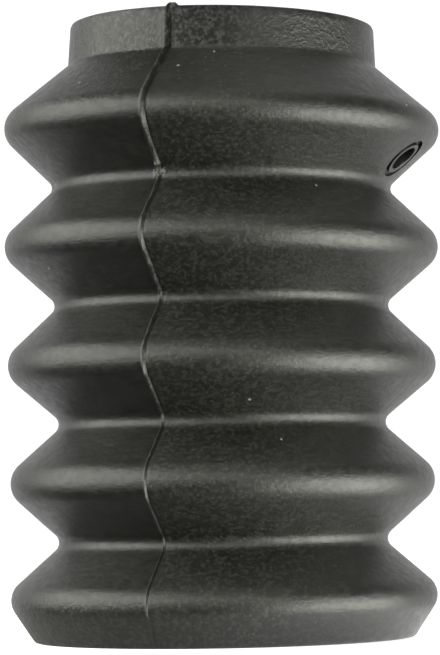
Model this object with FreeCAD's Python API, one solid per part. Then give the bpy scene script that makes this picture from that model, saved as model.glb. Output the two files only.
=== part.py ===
import FreeCAD, Part
import math
import os

# Rubber bellows boot, standing on its open mouth, in millimetres.
# Z is the axis of the bellows, the flat end of the mouth is at z = 0 and the collar is on top.
# The front of the boot looks towards -Y, and its vent hole looks to the right and a little forwards.
# It is one moulding: every section below shapes the same piece of rubber.

# Five folds, listed from the mouth upwards. A crest is the widest ring of a fold.
# A valley is the narrow ring between two folds, and the flanks between them are straight.
crest_radii = (46.6, 46.5, 46.9, 47.6, 47.7)
valley_radii = (35.7, 35.6, 36.7, 37.3)
first_crest_height = 9.0
fold_pitch = 25.6
crest_rounding = 4.9
valley_rounding = 2.6

# The folds have the same thickness of rubber everywhere.
wall = 2.2

# Plain collar at the top, which grips the shaft or tube.
shoulder_rise = 14.4
collar_outer_radius = 33.9
collar_bore_radius = 30.0
collar_height = 8.5
collar_root_rounding = 0.8
collar_edge_rounding = 0.5

# Open mouth at the bottom: a thicker rim with a short plain bore and a flat end.
mouth_outer_radius = 41.6
mouth_bore_radius = 37.5
mouth_bore_length = 4.5
mouth_edge_rounding = 1.1

# Vent hole through the lower flank of the top fold, square to the flank.
# A narrow groove runs round it, and angles are measured from +X towards +Y.
vent_angle = -20.2
vent_distance = 42.0
vent_diameter = 6.2
vent_groove_inner_diameter = 8.5
vent_groove_outer_diameter = 10.6
vent_groove_depth = 0.8

# Parting flash: a low line of rubber where the halves of the mould met, at the front and the back.
# It is wider on the collar, where it also stands above the rim as a small pip.
flash_angle = vent_angle - 90
flash_width = 0.9
flash_height = 0.4
flash_root = 0.8
collar_flash_width = 1.9
collar_flash_pip = 0.6

fold_count = len(crest_radii)
top_crest_height = first_crest_height + (fold_count - 1) * fold_pitch
collar_foot_height = top_crest_height + shoulder_rise
boot_height = collar_foot_height + collar_height

# The two ways that a round stretch can bulge, and the directions along the axis.
OUTWARD = 1
INWARD = -1
DOWN = FreeCAD.Vector(0, 0, -1)
UP = FreeCAD.Vector(0, 0, 1)


class Bend:
    """A round stretch of the outline: its centre, its radius and the way it bulges."""

    def __init__(self, radius, height, rounding, bulge):
        self.centre = FreeCAD.Vector(radius, 0, height)
        self.rounding = rounding
        self.bulge = bulge

    def offset(self, distance):
        """The same bend on a surface that lies this far outside the first."""
        rounding = self.rounding + self.bulge * distance
        return Bend(self.centre.x, self.centre.z, rounding, self.bulge)

    def point(self, outward):
        """The point of the bend whose surface faces this way."""
        return self.centre + outward * (self.bulge * self.rounding)


def facing(lower, upper):
    """The direction that the straight flank between two bends faces."""
    across = upper.centre - lower.centre
    reach = lower.bulge * lower.rounding - upper.bulge * upper.rounding
    angle = math.atan2(across.z, across.x) - math.acos(reach / across.Length)
    return FreeCAD.Vector(math.cos(angle), 0, math.sin(angle))


def outline_edges(bends, first_facing, last_facing):
    """The bends as arcs, joined by the straight flanks that touch both their neighbours."""
    turns = [first_facing]
    turns += [facing(lower, upper) for lower, upper in zip(bends, bends[1:])]
    turns.append(last_facing)
    edges = []
    end = None
    for bend, before, after in zip(bends, turns, turns[1:]):
        start = bend.point(before)
        if end is not None:
            edges.append(Part.LineSegment(end, start).toShape())
        middle = bend.point((before + after).normalize())
        end = bend.point(after)
        edges.append(Part.Arc(start, middle, end).toShape())
    return edges


def fold_bends():
    """The crests and valleys of the outside, from the mouth to the shoulder."""
    bends = []
    for fold, crest_radius in enumerate(crest_radii):
        height = first_crest_height + fold * fold_pitch
        bends.append(Bend(crest_radius - crest_rounding, height, crest_rounding, OUTWARD))
        if fold < len(valley_radii):
            valley_radius = valley_radii[fold] + valley_rounding
            bends.append(Bend(valley_radius, height + fold_pitch / 2, valley_rounding, INWARD))
    return bends


def polyline(*corners):
    return [Part.LineSegment(start, end).toShape() for start, end in zip(corners, corners[1:])]


def at(radius, height):
    return FreeCAD.Vector(radius, 0, height)


def outside_bends():
    """Every round stretch of the outside, from the mouth's edge to the collar's upper edge."""
    mouth_edge = Bend(mouth_outer_radius - mouth_edge_rounding, mouth_edge_rounding,
                      mouth_edge_rounding, OUTWARD)
    collar_root = Bend(collar_outer_radius + collar_root_rounding, collar_foot_height,
                       collar_root_rounding, INWARD)
    collar_edge = Bend(collar_outer_radius - collar_edge_rounding, boot_height - collar_edge_rounding,
                       collar_edge_rounding, OUTWARD)
    return [mouth_edge] + fold_bends() + [collar_root, collar_edge]


def revolved(edges):
    """The solid that a closed outline sweeps when it turns round the axis."""
    return Part.Face(Part.Wire(Part.__sortEdges__(edges))).revolve(at(0, 0), UP, 360)


def outer_body():
    """The outside of the boot, solid through to the axis."""
    mouth_edge, collar_edge = outside_bends()[0], outside_bends()[-1]
    ends = polyline(collar_edge.point(UP), at(0, boot_height), at(0, 0), mouth_edge.point(DOWN))
    return revolved(outline_edges(outside_bends(), DOWN, UP) + ends)


def cavity():
    """The hollow: both bores, and the folds seen from inside, one wall away from the outside."""
    folds = [bend.offset(-wall) for bend in fold_bends()]
    rim_top = Bend(mouth_bore_radius, mouth_bore_length, 0, INWARD)
    collar_root = outside_bends()[-2].offset(-wall)
    mouth_slope = facing(rim_top, folds[0])
    shoulder = facing(folds[-1], collar_root)
    start = folds[0].point(mouth_slope)
    end = folds[-1].point(shoulder)
    bore_foot = end.z + (end.x - collar_bore_radius) * shoulder.x / shoulder.z
    top = boot_height + collar_flash_pip + wall
    ends = polyline(end, at(collar_bore_radius, bore_foot), at(collar_bore_radius, top), at(0, top),
                    at(0, -wall), at(mouth_bore_radius, -wall), rim_top.centre, start)
    return revolved(outline_edges(folds, mouth_slope, shoulder) + ends)


def plate(edges, width):
    """A flat plate of this outline, standing in the plane where the mould parted."""
    face = Part.Face(Part.Wire(Part.__sortEdges__(edges)))
    face.translate(FreeCAD.Vector(0, -width / 2, 0))
    solid = face.extrude(FreeCAD.Vector(0, width, 0))
    solid.rotate(at(0, 0), UP, flash_angle)
    return solid


def fold_flash():
    """The thin line from the mouth to the collar's upper edge."""
    mouth_edge, *folds, collar_edge = outside_bends()
    folds = [bend.offset(flash_height) for bend in folds]
    mouth_edge.centre.x += flash_height
    collar_edge.centre.x += flash_height
    ends = polyline(collar_edge.point(UP), at(0, boot_height), at(0, 0), mouth_edge.point(DOWN))
    return plate(outline_edges([mouth_edge] + folds + [collar_edge], DOWN, UP) + ends, flash_width)


def collar_flash():
    """The wider strip on the collar, with the pip that stands above the rim."""
    foot = collar_foot_height - flash_root
    top = boot_height + collar_flash_pip
    inner = collar_outer_radius - flash_root
    outer = collar_outer_radius + flash_height
    top_edge = Bend(outer - collar_edge_rounding, top - collar_edge_rounding,
                    collar_edge_rounding, OUTWARD)
    ends = polyline(top_edge.point(UP), at(inner, top), at(inner, foot), at(outer, foot),
                    top_edge.point(FreeCAD.Vector(1, 0, 0)))
    return plate(outline_edges([top_edge], FreeCAD.Vector(1, 0, 0), UP) + ends, collar_flash_width)


def vent_tool(diameter, depth, lift):
    """A round cutter square to the flank, from this depth below its surface to this lift above it."""
    top_valley, top_crest = fold_bends()[-2:]
    outward = facing(top_valley, top_crest)
    flank_start = top_valley.point(outward)
    height = flank_start.z - (vent_distance - flank_start.x) * outward.x / outward.z
    middle = at(vent_distance, height)
    tool = Part.makeCylinder(diameter / 2, depth + lift, middle - outward * depth, outward)
    tool.rotate(at(0, 0), UP, vent_angle)
    return tool


def cut_vent(boot):
    """The hole right through the flank, and the groove round it."""
    hole = vent_tool(vent_diameter, 2 * wall, wall)
    groove = vent_tool(vent_groove_outer_diameter, vent_groove_depth, wall)
    island = vent_tool(vent_groove_inner_diameter, vent_groove_depth, wall)
    return boot.cut(hole).cut(groove.cut(island))


body = outer_body()
for flash in (fold_flash(), collar_flash()):
    body = body.fuse(flash)
    flash.rotate(at(0, 0), UP, 180)
    body = body.fuse(flash)
boot = cut_vent(body.cut(cavity())).removeSplitter()

os.makedirs("parts", exist_ok=True)
boot.exportStep("parts/bellows_boot.step")
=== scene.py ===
import math

import bpy
from mathutils import Matrix, Vector


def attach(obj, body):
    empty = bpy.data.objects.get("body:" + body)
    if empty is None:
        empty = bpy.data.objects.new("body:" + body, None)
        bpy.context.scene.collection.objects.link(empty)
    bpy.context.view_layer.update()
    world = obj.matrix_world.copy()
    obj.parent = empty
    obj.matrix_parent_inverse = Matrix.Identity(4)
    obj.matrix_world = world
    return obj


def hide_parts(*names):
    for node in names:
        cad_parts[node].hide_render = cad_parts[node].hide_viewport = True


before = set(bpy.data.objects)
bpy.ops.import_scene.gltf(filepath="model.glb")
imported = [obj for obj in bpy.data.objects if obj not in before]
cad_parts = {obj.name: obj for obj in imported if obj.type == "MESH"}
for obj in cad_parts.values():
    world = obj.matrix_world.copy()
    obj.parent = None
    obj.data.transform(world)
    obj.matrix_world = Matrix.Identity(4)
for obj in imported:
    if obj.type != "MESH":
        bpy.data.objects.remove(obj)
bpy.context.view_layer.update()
mm = 0.001


# The section of the boot
# The boot is one hollow moulding of black rubber: a plain collar, five folds and an open mouth.
# Its wall was formed between two mould halves and a core, so one section turned round the
# axis gives the whole of it, inside and out.
CREST_RADII = (46.6 * mm, 46.5 * mm, 46.9 * mm, 47.6 * mm, 47.8 * mm)
CREST_HEIGHTS = (9.1 * mm, 34.3 * mm, 59.9 * mm, 85.7 * mm, 111.5 * mm)
CREST_ROUNDINGS = (4.7 * mm, 5.4 * mm, 5.3 * mm, 5.1 * mm, 4.8 * mm)
VALLEY_RADII = (36.0 * mm, 35.9 * mm, 36.7 * mm, 37.3 * mm)
VALLEY_HEIGHTS = (21.5 * mm, 47.1 * mm, 72.8 * mm, 98.6 * mm)
VALLEY_ROUNDING = 2.2 * mm
WALL = 2.2 * mm

COLLAR_FOOT = 125.8 * mm
COLLAR_TOP = 134.5 * mm
COLLAR_OUTSIDE = 33.9 * mm
COLLAR_TAPER = 0.45 * mm
COLLAR_BORE = 30.0 * mm
COLLAR_BORE_FOOT = 125.9 * mm
COLLAR_ROOT_ROUNDING = 1.1 * mm
COLLAR_EDGE_ROUNDING = 0.9 * mm
MOUTH_OUTSIDE = 42.0 * mm
MOUTH_BORE = 37.5 * mm
MOUTH_BORE_LENGTH = 4.5 * mm
MOUTH_EDGE_ROUNDING = 1.1 * mm
BORE_EDGE_ROUNDING = 0.5 * mm

CONVEX = 1
HOLLOW = -1


def bend(radius, height, rounding, bulge):
    """A round stretch of the section, given by its centre."""
    return Vector((radius, height)), rounding, bulge


def outside_bends():
    """The mould's side, from the mouth's edge up to the collar's edge."""
    mouth_edge = MOUTH_OUTSIDE - MOUTH_EDGE_ROUNDING
    bends = [bend(mouth_edge, MOUTH_EDGE_ROUNDING, MOUTH_EDGE_ROUNDING, CONVEX)]
    for fold, (radius, height, rounding) in enumerate(zip(CREST_RADII, CREST_HEIGHTS, CREST_ROUNDINGS)):
        bends.append(bend(radius - rounding, height, rounding, CONVEX))
        if fold < len(VALLEY_RADII):
            centre = VALLEY_RADII[fold] + VALLEY_ROUNDING
            bends.append(bend(centre, VALLEY_HEIGHTS[fold], VALLEY_ROUNDING, HOLLOW))
    collar_root = COLLAR_OUTSIDE + COLLAR_ROOT_ROUNDING
    collar_edge = COLLAR_OUTSIDE - COLLAR_TAPER - COLLAR_EDGE_ROUNDING
    bends.append(bend(collar_root, COLLAR_FOOT, COLLAR_ROOT_ROUNDING, HOLLOW))
    bends.append(bend(collar_edge, COLLAR_TOP - COLLAR_EDGE_ROUNDING, COLLAR_EDGE_ROUNDING, CONVEX))
    return bends


def inside_bends():
    """The core's side, from the collar down: each fold is one wall away from the outside."""
    collar_edge = COLLAR_BORE + BORE_EDGE_ROUNDING
    mouth_edge = MOUTH_BORE + BORE_EDGE_ROUNDING
    bends = [bend(collar_edge, COLLAR_TOP - BORE_EDGE_ROUNDING, BORE_EDGE_ROUNDING, CONVEX),
             bend(collar_edge, COLLAR_BORE_FOOT, BORE_EDGE_ROUNDING, CONVEX)]
    for centre, rounding, bulge in reversed(outside_bends()[1:-2]):
        bends.append((centre, rounding - bulge * WALL, -bulge))
    bends.append(bend(mouth_edge, MOUTH_BORE_LENGTH - BORE_EDGE_ROUNDING, BORE_EDGE_ROUNDING, CONVEX))
    bends.append(bend(mouth_edge, BORE_EDGE_ROUNDING, BORE_EDGE_ROUNDING, CONVEX))
    return bends


def facing(first, second):
    """The angle that the straight stretch between two bends faces, away from the rubber."""
    first_centre, first_rounding, first_bulge = first
    second_centre, second_rounding, second_bulge = second
    across = second_centre - first_centre
    reach = first_bulge * first_rounding - second_bulge * second_rounding
    return math.atan2(across.y, across.x) - math.acos(reach / across.length)


def towards(angle):
    return Vector((math.cos(angle), math.sin(angle)))


def section_points(bends, first, last, bend_step, flank_step):
    """Points along some of a closed chain of bends, walked with the rubber on the left."""
    points = []
    count = len(bends)
    for here in range(first, last):
        centre, rounding, bulge = bends[here]
        before = facing(bends[here - 1], bends[here])
        after = facing(bends[here], bends[(here + 1) % count])
        turn = (after - before + math.pi) % (2 * math.pi) - math.pi
        steps = max(2, round(abs(turn) * rounding / bend_step))
        for step in range(steps + 1):
            points.append(centre + towards(before + turn * step / steps) * (bulge * rounding))
        next_centre, next_rounding, next_bulge = bends[(here + 1) % count]
        start = points[-1]
        end = next_centre + towards(after) * (next_bulge * next_rounding)
        steps = max(1, round((end - start).length / flank_step))
        points += [start.lerp(end, step / steps) for step in range(1, steps)]
    return points


def section_piece(name, points, skin_count=0):
    """The section as a string of points. The first ones lie on the boot's outside, its skin."""
    mesh = bpy.data.meshes.new(name)
    mesh.from_pydata([(point.x, 0, point.y) for point in points], [], [])
    skin = mesh.attributes.new("skin", "FLOAT", "POINT")
    for place in range(skin_count):
        skin.data[place].value = 1.0
    piece = bpy.data.objects.new(name, mesh)
    bpy.context.scene.collection.objects.link(piece)
    return piece


OUTSIDE_BEND_STEP = 0.55 * mm
OUTSIDE_FLANK_STEP = 0.95 * mm
INSIDE_BEND_STEP = 1.1 * mm
INSIDE_FLANK_STEP = 2.4 * mm

chain = outside_bends() + inside_bends()
outside_count = len(outside_bends())
skin_points = section_points(chain, 0, outside_count, OUTSIDE_BEND_STEP, OUTSIDE_FLANK_STEP)
core_points = section_points(chain, outside_count, len(chain), INSIDE_BEND_STEP, INSIDE_FLANK_STEP)
boot_section = section_piece("boot_section", skin_points + core_points + skin_points[:1], len(skin_points))


# Turning a section
# The boot and the plugs that form its vent are all round, so one small tree turns their sections.
# Its columns crowd together at one angle and opposite it, where the boot has its fine flash.
MERGE_REACH = 0.001 * mm


def link(tree, socket, value):
    """Joins a socket to another node's output, or sets it to a plain value."""
    if isinstance(value, bpy.types.NodeSocket):
        tree.links.new(value, socket)
    elif value is not None:
        socket.default_value = value


def node(tree, kind, inputs, output=0, **settings):
    """Adds a node, sets its inputs by name or place, and gives one of its outputs."""
    made = tree.nodes.new(kind)
    for name, value in settings.items():
        setattr(made, name, value)
    for key, value in inputs.items():
        link(tree, made.inputs[key], value)
    return made.outputs[output]


def maths(tree, operation, first, second=None, third=None):
    inputs = {0: first, 1: second, 2: third}
    return node(tree, "ShaderNodeMath", inputs, operation=operation)


def product(tree, first, *others):
    """All the values, multiplied."""
    for other in others:
        first = maths(tree, "MULTIPLY", first, other)
    return first


def component(tree, vector, axis):
    return node(tree, "ShaderNodeSeparateXYZ", {0: vector}, axis)


def new_tree(name, inputs):
    """An empty tree, the sockets of what it is given, and the socket that its result goes to."""
    tree = bpy.data.node_groups.new(name, "GeometryNodeTree")
    face = tree.interface
    face.new_socket("Geometry", in_out="INPUT", socket_type="NodeSocketGeometry")
    for label, kind in inputs.items():
        face.new_socket(label, in_out="INPUT", socket_type="NodeSocket" + kind)
    face.new_socket("Geometry", in_out="OUTPUT", socket_type="NodeSocketGeometry")
    return tree, tree.nodes.new("NodeGroupInput").outputs, tree.nodes.new("NodeGroupOutput").inputs[0]


turning, given, result = new_tree(
    "turned_section", {"Columns": "Int", "Crowding": "Float", "Crowd angle": "Float"})
count = node(turning, "GeometryNodeAttributeDomainSize", {"Geometry": given["Geometry"]})
index = node(turning, "GeometryNodeInputIndex", {})
row = maths(turning, "MODULO", index, count)
column = maths(turning, "FLOOR", maths(turning, "DIVIDE", maths(turning, "ADD", index, 0.5), count))
turn = product(turning, maths(turning, "DIVIDE", column, given["Columns"]), math.tau)
crowded = product(turning, maths(turning, "SINE", product(turning, turn, 2.0)), given["Crowding"])
angle = maths(turning, "ADD", maths(turning, "SUBTRACT", turn, crowded), given["Crowd angle"])
sheet = node(turning, "GeometryNodeMeshGrid",
             {"Vertices X": maths(turning, "ADD", given["Columns"], 1.0), "Vertices Y": count})
point = node(turning, "GeometryNodeSampleIndex",
             {"Geometry": given["Geometry"], "Value": node(turning, "GeometryNodeInputPosition", {}),
              "Index": row}, data_type="FLOAT_VECTOR")
marked = node(turning, "GeometryNodeInputNamedAttribute", {"Name": "skin"})
skin = node(turning, "GeometryNodeSampleIndex",
            {"Geometry": given["Geometry"], "Value": marked, "Index": row})
radius = component(turning, point, "X")
place = node(turning, "ShaderNodeCombineXYZ",
             {"X": product(turning, radius, maths(turning, "COSINE", angle)),
              "Y": product(turning, radius, maths(turning, "SINE", angle)),
              "Z": component(turning, point, "Z")})
sheet = node(turning, "GeometryNodeStoreNamedAttribute",
             {"Geometry": sheet, "Name": "skin", "Value": skin})
sheet = node(turning, "GeometryNodeSetPosition", {"Geometry": sheet, "Position": place})
sheet = node(turning, "GeometryNodeMergeByDistance", {"Geometry": sheet, "Distance": MERGE_REACH})
link(turning, result, sheet)


# The vent
# A hole to let air in and out is moulded square through the lower flank of the top fold.
# In the photo a dark line runs round most of it. Here that is a narrow groove, all the way round.
VENT_ANGLE = math.radians(-20.2)
VENT_DISTANCE = 42.0 * mm
VENT_RADIUS = 3.1 * mm
VENT_LIP = 0.3 * mm
LIP_TURNS = range(0, 75, 15)
GROOVE_INNER_RADIUS = 4.25 * mm
GROOVE_OUTER_RADIUS = 5.3 * mm
GROOVE_DEPTH = 0.8 * mm
GROOVE_ROUNDING = 0.2 * mm
GROOVE_FLARE = 0.3 * mm
PLUG_ROUNDING = 0.1 * mm
PLUG_BEND_STEP = 0.1 * mm
PLUG_FLANK_STEP = 1.0 * mm
PLUG_COLUMNS = 96

top_valley, top_crest = outside_bends()[-4:-2]
flank_out = towards(facing(top_valley, top_crest))
valley_centre, valley_rounding, valley_bulge = top_valley
flank_foot = valley_centre + flank_out * (valley_rounding * valley_bulge)
vent_height = flank_foot.y - (VENT_DISTANCE - flank_foot.x) * flank_out.x / flank_out.y
round_axis = Matrix.Rotation(VENT_ANGLE, 4, "Z")
vent_out = round_axis @ Vector((flank_out.x, 0, flank_out.y))
vent_along = round_axis @ Vector((-flank_out.y, 0, flank_out.x))
vent_across = vent_along.cross(vent_out)
vent_place = Matrix((vent_across, vent_along, vent_out)).transposed().to_4x4()
vent_place.translation = round_axis @ Vector((VENT_DISTANCE, 0, vent_height))
flank_curve = VENT_DISTANCE / flank_out.x


def add_tree(piece, tree, values):
    """Puts the tree on a piece and sets its inputs by their identifiers."""
    modifier = piece.modifiers.new(tree.name, "NODES")
    modifier.node_group = tree
    for socket in tree.interface.items_tree:
        if socket.in_out == "INPUT" and socket.name in values:
            modifier[socket.identifier] = values[socket.name]


def baked(piece, name):
    """A plain mesh of what the piece's trees make. The piece with the live trees goes."""
    result = piece.evaluated_get(bpy.context.evaluated_depsgraph_get())
    mesh = bpy.data.meshes.new_from_object(result)
    mesh.name = name
    bpy.data.objects.remove(piece)
    plain = bpy.data.objects.new(name, mesh)
    bpy.context.scene.collection.objects.link(plain)
    return plain


def vent_plug(name, section):
    """Turns a section round the vent's axis and lays it along the round flank."""
    plug = section_piece(name, section)
    add_tree(plug, turning, {"Columns": PLUG_COLUMNS, "Crowding": 0.0, "Crowd angle": 0.0})
    plug = baked(plug, name)
    for vertex in plug.data.vertices:
        vertex.co.z -= vertex.co.x ** 2 / (2 * flank_curve)
    plug.data.transform(vent_place)
    return plug


lip = [Vector((VENT_RADIUS + VENT_LIP * (1 - math.cos(math.radians(turn))),
               -VENT_LIP + VENT_LIP * math.sin(math.radians(turn)))) for turn in LIP_TURNS]
hole_plug = vent_plug("hole_plug", [Vector((0, -2 * WALL)), Vector((VENT_RADIUS, -2 * WALL))] + lip
                      + [Vector((VENT_RADIUS + 3 * VENT_LIP, WALL)), Vector((0, WALL))])
groove_foot = GROOVE_ROUNDING - GROOVE_DEPTH
groove_chain = [bend(GROOVE_OUTER_RADIUS - GROOVE_ROUNDING, groove_foot, GROOVE_ROUNDING, CONVEX),
                bend(GROOVE_OUTER_RADIUS + GROOVE_FLARE, WALL, PLUG_ROUNDING, CONVEX),
                bend(GROOVE_INNER_RADIUS - GROOVE_FLARE, WALL, PLUG_ROUNDING, CONVEX),
                bend(GROOVE_INNER_RADIUS + GROOVE_ROUNDING, groove_foot, GROOVE_ROUNDING, CONVEX)]
groove_points = section_points(groove_chain, 0, len(groove_chain), PLUG_BEND_STEP, PLUG_FLANK_STEP)
groove_plug = vent_plug("groove_plug", groove_points + groove_points[:1])


# The boot's skin
# The moulding isn't perfect: its surface wanders and its top leans a little. Where the mould halves
# met it has a low line of flash, front and back, with a crease beside it. The flash is widest on the
# collar, ends in a pip above the rim, and left three beads of torn rubber in the top valley.
FLASH_ANGLE = VENT_ANGLE - math.pi / 2
FLASH_HALF_WIDTH = 0.6 * mm
FLASH_HEIGHT = 0.6 * mm
FLASH_WANDER = 0.25 * mm
FLASH_WANDER_SIZE = 9 * mm
FLASH_RAG_SIZE = 2.2 * mm
FLASH_RAG_EDGES = (0.3, 0.7)
FLASH_RAGGEDNESS = (0.55, 1.3)
FLASH_LOW_SHARE = 0.8
FLASH_COLLAR_GAIN = 0.4
FLASH_FOOT = (0.3 * mm, 1.8 * mm)
FLASH_THINNING = (10 * mm, 95 * mm)
FLASH_THINNEST = 0.55
FLASH_TOP = (COLLAR_TOP - 0.5 * mm, COLLAR_TOP - 1.6 * mm)
FLASH_TOP_SHARE = 0.2
COLLAR_FLASH_HALF_WIDTH = 0.75 * mm
COLLAR_FLASH_START = (CREST_HEIGHTS[-1] - 7 * mm, CREST_HEIGHTS[-1] + 1 * mm)

CREASE_HALF_WIDTH = 0.5 * mm
CREASE_DEPTH = 0.25 * mm
CREASE_LOW_SHARE = 0.4
CREASE_COLLAR_GAIN = 0.6
CREASE_TOP = (COLLAR_TOP - 1 * mm, COLLAR_TOP - 2 * mm)

PIP_SHIFT = 0.9 * mm
PIP_SIDE = (1.5 * mm, 0.5 * mm)
PIP_INNER_SIDE = (COLLAR_BORE + 1.4 * mm, COLLAR_BORE + 2.4 * mm)
PIP_FOOT = (COLLAR_TOP - 1.2 * mm, COLLAR_TOP - 0.3 * mm)
PIP_HEIGHT = 0.7 * mm

BEADS = ((-0.7 * mm, 0.1 * mm), (0.8 * mm, 0.4 * mm), (0.1 * mm, 2.3 * mm))
BEAD_RADIUS = 0.9 * mm
BEAD_HEIGHT = 0.8 * mm
BEAD_TOP = 0.2 * BEAD_RADIUS
BEAD_STAND_OFF = 0.5 * FLASH_HEIGHT
FLANK_START = 1 * mm

UNEVENNESS = 0.12 * mm
UNEVEN_SIZE = 22 * mm
UNEVEN_FOOT = (0.2 * mm, 4 * mm)
TOP_LEAN = 1.75 * mm
SHARP_ANGLE = math.radians(38)
COLUMNS = 270
CROWDING = 0.42


def weighted(tree, value, weight, base):
    """The value times its weight, plus a base."""
    return maths(tree, "MULTIPLY_ADD", value, weight, base)


def vectors(tree, operation, first, second=None):
    """A sum on vectors. Those that measure something give a number."""
    output = "Value" if operation in ("DOT_PRODUCT", "LENGTH", "DISTANCE") else "Vector"
    return node(tree, "ShaderNodeVectorMath", {0: first, 1: second}, output, operation=operation)


def ramp(tree, value, start, end, low=0.0, high=1.0):
    """A soft change from low to high as the value goes from start to end."""
    inputs = {"Value": value, "From Min": start, "From Max": end, "To Min": low, "To Max": high}
    return node(tree, "ShaderNodeMapRange", inputs, interpolation_type="SMOOTHSTEP")


def mixed_values(tree, share, first, second):
    return node(tree, "ShaderNodeMix", {0: share, "A": first, "B": second})


def noise(tree, vector, size, detail=2.0, harshness=0.5):
    """Noise from 0 to 1 whose lumps are about this size in metres."""
    inputs = {"Vector": vector, "Scale": 1 / size, "Detail": detail, "Roughness": harshness}
    return node(tree, "ShaderNodeTexNoise", inputs)


def wandering(tree, vector, size, reach):
    """Noise that strays about this far to either side of nought."""
    return product(tree, maths(tree, "SUBTRACT", noise(tree, vector, size), 0.5), 2.0, reach)


def moved(tree, body, offset):
    return node(tree, "GeometryNodeSetPosition", {"Geometry": body, "Offset": offset})


def raised(tree, body, height):
    """Moves the surface out along its normals."""
    outward = node(tree, "GeometryNodeInputNormal", {})
    inputs = {0: outward, "Scale": height}
    return moved(tree, body, node(tree, "ShaderNodeVectorMath", inputs, operation="SCALE"))


boot_tree, given, result = new_tree("moulded_boot", {
    "Columns": "Int", "Flash angle": "Float", "Flash half width": "Float", "Flash height": "Float",
    "Collar flash half width": "Float", "Pip height": "Float", "Unevenness": "Float",
    "Top lean": "Float", "Hole plug": "Object", "Groove plug": "Object", "Rubber": "Material"})
body = node(boot_tree, "GeometryNodeGroup",
            {"Geometry": given["Geometry"], "Columns": given["Columns"], "Crowding": CROWDING,
             "Crowd angle": given["Flash angle"]}, node_tree=turning)
position = node(boot_tree, "GeometryNodeInputPosition", {})
level = component(boot_tree, position, "Z")
on_skin = node(boot_tree, "GeometryNodeInputNamedAttribute", {"Name": "skin"})

uneven = wandering(boot_tree, position, UNEVEN_SIZE, given["Unevenness"])
body = raised(boot_tree, body, product(boot_tree, uneven, ramp(boot_tree, level, *UNEVEN_FOOT), on_skin))

# The flash lies in the plane where the mould parted, and strays a little from it.
parting_normal = node(boot_tree, "ShaderNodeCombineXYZ",
                      {"X": product(boot_tree, maths(boot_tree, "SINE", given["Flash angle"]), -1.0),
                       "Y": maths(boot_tree, "COSINE", given["Flash angle"])})
beside_plane = vectors(boot_tree, "DOT_PRODUCT", position, parting_normal)
stray = wandering(boot_tree, position, FLASH_WANDER_SIZE, FLASH_WANDER)
beside_flash = maths(boot_tree, "ADD", beside_plane, stray)
on_collar = ramp(boot_tree, level, *COLLAR_FLASH_START)
thinning = ramp(boot_tree, level, *FLASH_THINNING, FLASH_THINNEST, 1.0)
half_width = mixed_values(boot_tree, on_collar, given["Flash half width"], given["Collar flash half width"])
half_width = product(boot_tree, half_width, thinning)
ridge = ramp(boot_tree, maths(boot_tree, "ABSOLUTE", beside_flash), half_width, 0.0)
ragged = noise(boot_tree, position, FLASH_RAG_SIZE)
ragged = ramp(boot_tree, ragged, *FLASH_RAG_EDGES, *FLASH_RAGGEDNESS)
ridge = product(boot_tree, ridge, ragged, weighted(boot_tree, on_collar, FLASH_COLLAR_GAIN, FLASH_LOW_SHARE),
                thinning, ramp(boot_tree, level, *FLASH_TOP, FLASH_TOP_SHARE, 1.0), given["Flash height"])
crease = maths(boot_tree, "ABSOLUTE", maths(boot_tree, "SUBTRACT", beside_flash, half_width))
crease = ramp(boot_tree, crease, CREASE_HALF_WIDTH, 0.0, 0.0, CREASE_DEPTH)
crease = product(boot_tree, crease, weighted(boot_tree, on_collar, CREASE_COLLAR_GAIN, CREASE_LOW_SHARE),
                 ramp(boot_tree, level, *CREASE_TOP))
flash_skin = product(boot_tree, on_skin, ramp(boot_tree, level, *FLASH_FOOT))
body = raised(boot_tree, body,
              product(boot_tree, maths(boot_tree, "SUBTRACT", ridge, crease), flash_skin))

# Each bead is placed by how far it lies beside the flash and above the bottom of the valley.
bead_places = []
for beside, above in BEADS:
    out = VALLEY_RADII[-1] + BEAD_STAND_OFF + max(0, above - FLANK_START)
    bead_place = Vector((out, beside, VALLEY_HEIGHTS[-1] + above))
    bead_place.rotate(Matrix.Rotation(FLASH_ANGLE, 3, "Z"))
    bead_places.append(bead_place)
    bead = vectors(boot_tree, "DISTANCE", position, bead_place)
    bead = ramp(boot_tree, bead, BEAD_RADIUS, BEAD_TOP, 0.0, BEAD_HEIGHT)
    body = raised(boot_tree, body, product(boot_tree, bead, flash_skin))

beside_pip = maths(boot_tree, "ABSOLUTE", maths(boot_tree, "SUBTRACT", beside_plane, PIP_SHIFT))
from_axis = vectors(boot_tree, "LENGTH", vectors(boot_tree, "MULTIPLY", position, (1.0, 1.0, 0.0)))
pip = product(boot_tree, ramp(boot_tree, beside_pip, *PIP_SIDE),
              ramp(boot_tree, from_axis, *PIP_INNER_SIDE), ramp(boot_tree, level, *PIP_FOOT))
pip = product(boot_tree, pip, given["Pip height"])
body = moved(boot_tree, body, node(boot_tree, "ShaderNodeCombineXYZ", {"Z": pip}))

for label in ("Hole plug", "Groove plug"):
    plug = node(boot_tree, "GeometryNodeObjectInfo", {"Object": given[label]}, "Geometry")
    body = node(boot_tree, "GeometryNodeMeshBoolean", {"Mesh 1": body, "Mesh 2": plug},
                operation="DIFFERENCE", solver="EXACT")

# The top leans to the right as if the boot were bent, so each ring also tips.
tipping = product(boot_tree, given["Top lean"], 2.0 / COLLAR_TOP ** 2, level)
lean = node(boot_tree, "ShaderNodeCombineXYZ",
            {"X": product(boot_tree, tipping, level, 0.5),
             "Z": product(boot_tree, tipping, component(boot_tree, position, "X"), -1.0)})
body = moved(boot_tree, body, lean)

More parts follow.
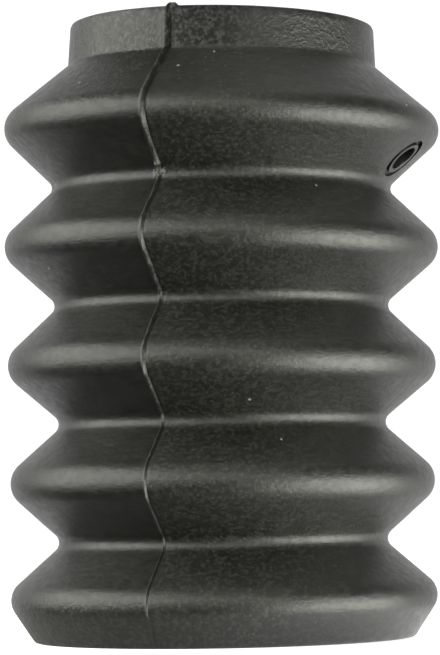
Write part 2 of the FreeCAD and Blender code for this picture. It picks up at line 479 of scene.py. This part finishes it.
body = node(boot_tree, "GeometryNodeSetShadeSmooth", {"Geometry": body, "Shade Smooth": True})
edge_angle = node(boot_tree, "GeometryNodeInputMeshEdgeAngle", {}, "Unsigned Angle")
sharp = node(boot_tree, "FunctionNodeCompare", {"A": edge_angle, "B": SHARP_ANGLE},
             operation="GREATER_THAN")
body = node(boot_tree, "GeometryNodeSetShadeSmooth",
            {"Geometry": body, "Selection": sharp, "Shade Smooth": False}, domain="EDGE")
body = node(boot_tree, "GeometryNodeRealizeInstances", {"Geometry": body})
body = node(boot_tree, "GeometryNodeSetMaterial", {"Geometry": body, "Material": given["Rubber"]})
link(boot_tree, result, body)


# The rubber
# Black rubber with a faint olive cast, left satin by the mould. One mould half was pitted, most of
# all on the collar beside the front flash. The other was smooth, apart from the shoulder and the
# lowest fold. Pale grey is painted on dots and pebble tops there, as painted sparkle off the pits.
# The beads of torn flash are painted pale grey, partly for torn rubber and partly as painted
# highlights, and a few specks of dust lie on the boot.
RUBBER_DARK = (0.0010, 0.0010, 0.0008, 1)
RUBBER_LIGHT = (0.0090, 0.0090, 0.0070, 1)
# Painted sparkle: the pale grey of the dots and pebble tops where the rubber is pitted or rough.
PAINTED_SPARKLE_GREY = (0.028, 0.028, 0.023, 1)
# The beads' pale grey: partly torn rubber, partly painted highlights.
TORN_GREY_AND_PAINTED_HIGHLIGHT = (0.11, 0.11, 0.10, 1)
TORN_HIGHLIGHT_TOP = 0.4 * BEAD_RADIUS
TORN_HIGHLIGHT_STRENGTH = 0.8
DUST_GREY = (0.16, 0.16, 0.15, 1)

CLOUD_SIZE = 5 * mm
CLOUD_EDGES = (0.35, 0.65)
STREAK_SIZE = 0.9 * mm
STREAK_STRETCH = (0.35, 0.35, 1.0)
STREAK_EDGES = (0.4, 0.65)
PEBBLE_SIZE = 0.95 * mm
PEBBLE_EDGES = (0.4, 0.68)
DOT_CELL = 1.45 * mm
DOT_EDGES = (0.34, 0.08)
DOT_SHARE = 0.5
DOT_STRENGTH = 0.8
SPECK_CELL = 7 * mm
SPECK_EDGES = (0.06, 0.036)
SPECK_SHARE = 0.25

BUMP_HEIGHT = 0.1 * mm
BUMP_STRENGTH = 0.6
STREAK_RELIEF = 1.5
DOT_RELIEF = 0.35
PEBBLES_ANYWHERE = 0.15
PEBBLES_WHERE_PITTED = 0.25
PEBBLES_LOST_ON_SHOULDER = -0.2
PEBBLES_ROUGH_LEFT = 0.6
COLLAR_CLOUD_EDGES = (0.3, 0.7)
COLLAR_PEBBLES = (0.7, 0.5)
TONE_OF_STREAKS = 0.4
TONE_OF_CLOUDS = 0.15
TONE_OF_PEBBLES = 0.2
BLOTCH_EDGES = (0.25, 0.9)
BLOTCHES_WHERE_PITTED = 0.42
BLOTCHES_LOST_ON_SHOULDER = -0.3
BLOTCHES_ROUGH_LEFT = 0.35

ROUGH_SIZE = 1.6 * mm
ROUGH_EDGES = (0.3, 0.7)
ROUGHNESS = (0.41, 0.50)
PITTED_ROUGHNESS = 0.04
SHINE = 0.5
DULL_BETWEEN_PEBBLES = (0.55, 0.15)
MOTTLED_DULLNESS = 0.22

# Where each finish begins and ends, beside the parting plane or in height.
PITTED_START = (0.0, 1.5 * mm)
PITTED_END = (44 * mm, 20 * mm)
PITTED_LEAST = 0.15
SMOOTH_START = (0.0, -1.5 * mm)
COLLAR_START = (COLLAR_FOOT - 0.5 * mm, COLLAR_FOOT + 0.5 * mm)
SHOULDER_START = (CREST_HEIGHTS[-1], CREST_HEIGHTS[-1] + 4 * mm)
LOW_FOLD_TOP = (14 * mm, 7 * mm)
COLLAR_PITS_START = (0.6 * mm, 1.6 * mm)
COLLAR_PITS_END = (26 * mm, 10 * mm)
MOTTLE_START = (0.0, -1 * mm)
MOTTLE_END = (-24 * mm, -12 * mm)


def mixed_colours(tree, share, first, second):
    return node(tree, "ShaderNodeMix", {0: share, 6: first, 7: second}, 2, data_type="RGBA")


def scattered(tree, vector, cell, edges, share, strength=1.0):
    """Round dots, in this share of the cells. The edges are given in cells."""
    distance = node(tree, "ShaderNodeTexVoronoi", {"Vector": vector, "Scale": 1 / cell}, "Distance")
    luck = component(tree, distance.node.outputs["Color"], "X")
    chosen = maths(tree, "GREATER_THAN", luck, 1 - share)
    return product(tree, ramp(tree, distance, *edges, 0.0, strength), chosen)


rubber = bpy.data.materials.new("black_rubber")
rubber.use_nodes = True
shade = rubber.node_tree
surface = shade.nodes["Principled BSDF"]
point = node(shade, "ShaderNodeTexCoord", {}, "Object")
level = component(shade, point, "Z")
parting_normal = (-math.sin(FLASH_ANGLE), math.cos(FLASH_ANGLE), 0)
beside_flash = vectors(shade, "DOT_PRODUCT", point, parting_normal)

pitted = product(shade, ramp(shade, beside_flash, *PITTED_START),
                 ramp(shade, beside_flash, *PITTED_END, PITTED_LEAST, 1.0))
on_collar = ramp(shade, level, *COLLAR_START)
on_shoulder = ramp(shade, level, *SHOULDER_START)
rough_left = product(shade, ramp(shade, beside_flash, *SMOOTH_START),
                     maths(shade, "MAXIMUM", on_shoulder, ramp(shade, level, *LOW_FOLD_TOP)))

clouds = noise(shade, point, CLOUD_SIZE, detail=3.0)
stretched = vectors(shade, "MULTIPLY", point, STREAK_STRETCH)
streaks = noise(shade, stretched, STREAK_SIZE, detail=3.0, harshness=0.65)
pebbles = ramp(shade, noise(shade, point, PEBBLE_SIZE, harshness=0.6), *PEBBLE_EDGES)
between_pebbles = maths(shade, "SUBTRACT", 1.0, pebbles)
dots = product(shade, scattered(shade, point, DOT_CELL, DOT_EDGES, DOT_SHARE, DOT_STRENGTH), pitted)

fold_pebbled = weighted(shade, on_shoulder, PEBBLES_LOST_ON_SHOULDER, PEBBLES_WHERE_PITTED)
fold_pebbled = weighted(shade, pitted, fold_pebbled, PEBBLES_ANYWHERE)
fold_pebbled = weighted(shade, rough_left, PEBBLES_ROUGH_LEFT, fold_pebbled)
collar_pebbled = weighted(shade, ramp(shade, clouds, *COLLAR_CLOUD_EDGES), *COLLAR_PEBBLES)
pebbled = product(shade, mixed_values(shade, on_collar, fold_pebbled, collar_pebbled), pebbles)
relief = weighted(shade, dots, DOT_RELIEF, weighted(shade, streaks, STREAK_RELIEF, pebbled))
bump = node(shade, "ShaderNodeBump", {"Strength": BUMP_STRENGTH, "Distance": BUMP_HEIGHT, "Height": relief})
link(shade, surface.inputs["Normal"], bump)

tone = product(shade, ramp(shade, streaks, *STREAK_EDGES), TONE_OF_STREAKS)
tone = weighted(shade, ramp(shade, clouds, *CLOUD_EDGES), TONE_OF_CLOUDS, tone)
tone = weighted(shade, pebbled, TONE_OF_PEBBLES, tone)
colour = mixed_colours(shade, tone, RUBBER_DARK, RUBBER_LIGHT)
# Painted sparkle: pale grey on the dots and the pebble tops, where pitted or rough, stands in for light
# glinting off the pits.
blotches = weighted(shade, on_shoulder, BLOTCHES_LOST_ON_SHOULDER, BLOTCHES_WHERE_PITTED)
blotches = weighted(shade, rough_left, BLOTCHES_ROUGH_LEFT, product(shade, pitted, blotches))
blotches = product(shade, ramp(shade, pebbles, *BLOTCH_EDGES), blotches)
colour = mixed_colours(shade, maths(shade, "MAXIMUM", dots, blotches), colour, PAINTED_SPARKLE_GREY)
specks = scattered(shade, point, SPECK_CELL, SPECK_EDGES, SPECK_SHARE)
colour = mixed_colours(shade, specks, colour, DUST_GREY)
# Each bead is painted pale grey: partly the torn rubber's own colour, partly a painted highlight.
for bead_place in bead_places:
    leaning = Vector((TOP_LEAN * (bead_place.z / COLLAR_TOP) ** 2, 0, 0))
    bead = vectors(shade, "DISTANCE", point, bead_place + leaning)
    bead = ramp(shade, bead, BEAD_RADIUS, TORN_HIGHLIGHT_TOP, 0.0, TORN_HIGHLIGHT_STRENGTH)
    colour = mixed_colours(shade, bead, colour, TORN_GREY_AND_PAINTED_HIGHLIGHT)
link(shade, surface.inputs["Base Color"], colour)

# On the collar the pits swallow some of the shine.
dulled = product(shade, weighted(shade, between_pebbles, *DULL_BETWEEN_PEBBLES),
                 ramp(shade, beside_flash, *COLLAR_PITS_START), ramp(shade, beside_flash, *COLLAR_PITS_END))
mottled = product(shade, ramp(shade, beside_flash, *MOTTLE_START), ramp(shade, beside_flash, *MOTTLE_END),
                  between_pebbles)
dulled = product(shade, weighted(shade, mottled, MOTTLED_DULLNESS, dulled), on_collar)
link(shade, surface.inputs["Specular IOR Level"], weighted(shade, dulled, -SHINE, SHINE))
rough = ramp(shade, noise(shade, point, ROUGH_SIZE, detail=4.0), *ROUGH_EDGES, *ROUGHNESS)
link(shade, surface.inputs["Roughness"], weighted(shade, pitted, PITTED_ROUGHNESS, rough))

add_tree(boot_section, boot_tree, {
    "Columns": COLUMNS, "Flash angle": FLASH_ANGLE, "Flash half width": FLASH_HALF_WIDTH,
    "Flash height": FLASH_HEIGHT, "Collar flash half width": COLLAR_FLASH_HALF_WIDTH,
    "Pip height": PIP_HEIGHT, "Unevenness": UNEVENNESS, "Top lean": TOP_LEAN, "Hole plug": hole_plug,
    "Groove plug": groove_plug, "Rubber": rubber})
boot = baked(boot_section, "moulded_boot")
for plug in (hole_plug, groove_plug):
    bpy.data.objects.remove(plug)
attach(boot, "root")
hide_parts("bellows_boot")


# The studio
# The boot stands on white ground between two large lamps, the right one low, with weaker lamps in
# front and overhead and white behind. The camera sees all of the ground. Other rays see only a disc
# of it, under and close round the boot, which is bright at the right and dim at the left.
FLOOR_REACH = 3.0
FLOOR_WHITE = (0.5, 0.5, 0.5, 1)
FLOOR_ROUGHNESS = 0.9
FLOOR_GLOW = 0.85

DISC_EDGES = (58 * mm, 50 * mm)
DISC_GLOWS = (0.1, 1.8)
DISC_SIDES = (-30 * mm, 45 * mm)

WHITE = (1, 1, 1, 1)
BACK_DIRECTION = (0.08, 1.0, 0.0)
BEHIND_EDGES = (0.3, 0.8)
BEHIND_GLOWS = (0.01, 1.15)
LOW_BEHIND_EDGES = (-0.3, -0.65)
LOW_BEHIND_GAIN = 1.45
UNDER_EDGES = (-0.6, -0.85)
UNDER_GLOW = 0.15

LAMP_TINT = (1.0, 1.0, 0.93)

floor_mesh = bpy.data.meshes.new("floor")
floor_mesh.from_pydata([(-FLOOR_REACH, -FLOOR_REACH, 0), (FLOOR_REACH, -FLOOR_REACH, 0),
                        (FLOOR_REACH, FLOOR_REACH, 0), (-FLOOR_REACH, FLOOR_REACH, 0)],
                       [], [(0, 1, 2, 3)])
floor = bpy.data.objects.new("floor", floor_mesh)
bpy.context.scene.collection.objects.link(floor)

paper = bpy.data.materials.new("white_paper")
paper.use_nodes = True
ground = paper.node_tree
matt = ground.nodes["Principled BSDF"]
matt.inputs["Base Color"].default_value = FLOOR_WHITE
matt.inputs["Roughness"].default_value = FLOOR_ROUGHNESS
# The ground glows by itself: evenly for the camera, and more at the right for other rays.
by_camera = node(ground, "ShaderNodeLightPath", {}, "Is Camera Ray")
spot = node(ground, "ShaderNodeTexCoord", {}, "Object")
disc_glow = ramp(ground, component(ground, spot, "X"), *DISC_SIDES, *DISC_GLOWS)
glow = mixed_values(ground, by_camera, disc_glow, FLOOR_GLOW)
glow = node(ground, "ShaderNodeEmission", {"Color": WHITE, "Strength": glow})
lit = node(ground, "ShaderNodeAddShader", {0: matt.outputs[0], 1: glow})
on_disc = ramp(ground, vectors(ground, "LENGTH", spot), *DISC_EDGES)
clear = node(ground, "ShaderNodeBsdfTransparent", {})
there = maths(ground, "MAXIMUM", by_camera, on_disc)
lit = node(ground, "ShaderNodeMixShader", {0: there, 1: clear, 2: lit})
link(ground, ground.nodes["Material Output"].inputs["Surface"], lit)
floor.data.materials.append(paper)

# The backdrop lights the boot from behind, more so from low down, and a little from straight below.
# The camera sees it white all over.
world = bpy.data.worlds.new("studio")
bpy.context.scene.world = world
world.use_nodes = True
sky = world.node_tree
path = sky.nodes.new("ShaderNodeLightPath").outputs
seen = maths(sky, "MAXIMUM", path["Is Camera Ray"], path["Is Transmission Ray"])
compass = node(sky, "ShaderNodeTexCoord", {}, "Generated")
above = component(sky, compass, "Z")
behind = ramp(sky, vectors(sky, "DOT_PRODUCT", compass, BACK_DIRECTION), *BEHIND_EDGES, *BEHIND_GLOWS)
behind = product(sky, behind, ramp(sky, above, *LOW_BEHIND_EDGES, 1.0, LOW_BEHIND_GAIN))
behind = maths(sky, "ADD", behind, ramp(sky, above, *UNDER_EDGES, 0.0, UNDER_GLOW))
backdrop = sky.nodes["Background"]
link(sky, backdrop.inputs["Color"], WHITE)
link(sky, backdrop.inputs["Strength"], maths(sky, "MAXIMUM", behind, seen))


def lamp(name, azimuth, elevation, distance, width, height, watts):
    """A soft rectangular lamp that faces the boot; azimuth 0 is in front and 90 to the right."""
    light = bpy.data.lights.new(name, "AREA")
    light.shape = "RECTANGLE"
    light.size = width
    light.size_y = height
    light.energy = watts
    light.color = LAMP_TINT
    holder = bpy.data.objects.new(name, light)
    bpy.context.scene.collection.objects.link(holder)
    turn = math.radians(azimuth)
    lift = math.radians(elevation)
    away = Vector((math.sin(turn) * math.cos(lift), -math.cos(turn) * math.cos(lift), math.sin(lift)))
    holder.location = Vector((0, 0, COLLAR_TOP / 2)) + away * distance
    holder.rotation_euler = away.to_track_quat("Z", "Y").to_euler()


lamp("left_lamp", azimuth=-75, elevation=18, distance=0.9, width=1.35, height=1.0, watts=22)
lamp("right_lamp", azimuth=68, elevation=-20, distance=0.9, width=1.15, height=0.8, watts=28)
lamp("high_lamp", azimuth=45, elevation=76, distance=1.0, width=1.1, height=0.8, watts=3.2)
lamp("front_lamp", azimuth=-4, elevation=20, distance=1.0, width=1.3, height=0.35, watts=6.6)


# The camera
# The photo was taken from straight in front, close to the ground and with a long lens. The camera
# stands at the height of the second fold, looks up a little and is turned by about a degree.
EYE_HEIGHT = 32.8 * mm
AIM_HEIGHT = 68.2 * mm
CAMERA_DISTANCE = 664.0 * mm
AXIS_OFFSET = 0.12 * mm
CAMERA_ROLL = math.radians(-1.05)
LENS = 166.1
SENSOR_WIDTH = 36
camera = bpy.data.objects.new("camera", bpy.data.cameras.new("camera"))
bpy.context.scene.collection.objects.link(camera)
bpy.context.scene.camera = camera
camera.data.lens = LENS
camera.data.sensor_width = SENSOR_WIDTH
camera.location = (AXIS_OFFSET, -CAMERA_DISTANCE, EYE_HEIGHT)
look = (Vector((AXIS_OFFSET, 0, AIM_HEIGHT)) - camera.location).to_track_quat("-Z", "Y").to_matrix()
camera.rotation_euler = (look @ Matrix.Rotation(CAMERA_ROLL, 3, "Z")).to_euler()

bpy.context.scene.view_settings.view_transform = "Standard"
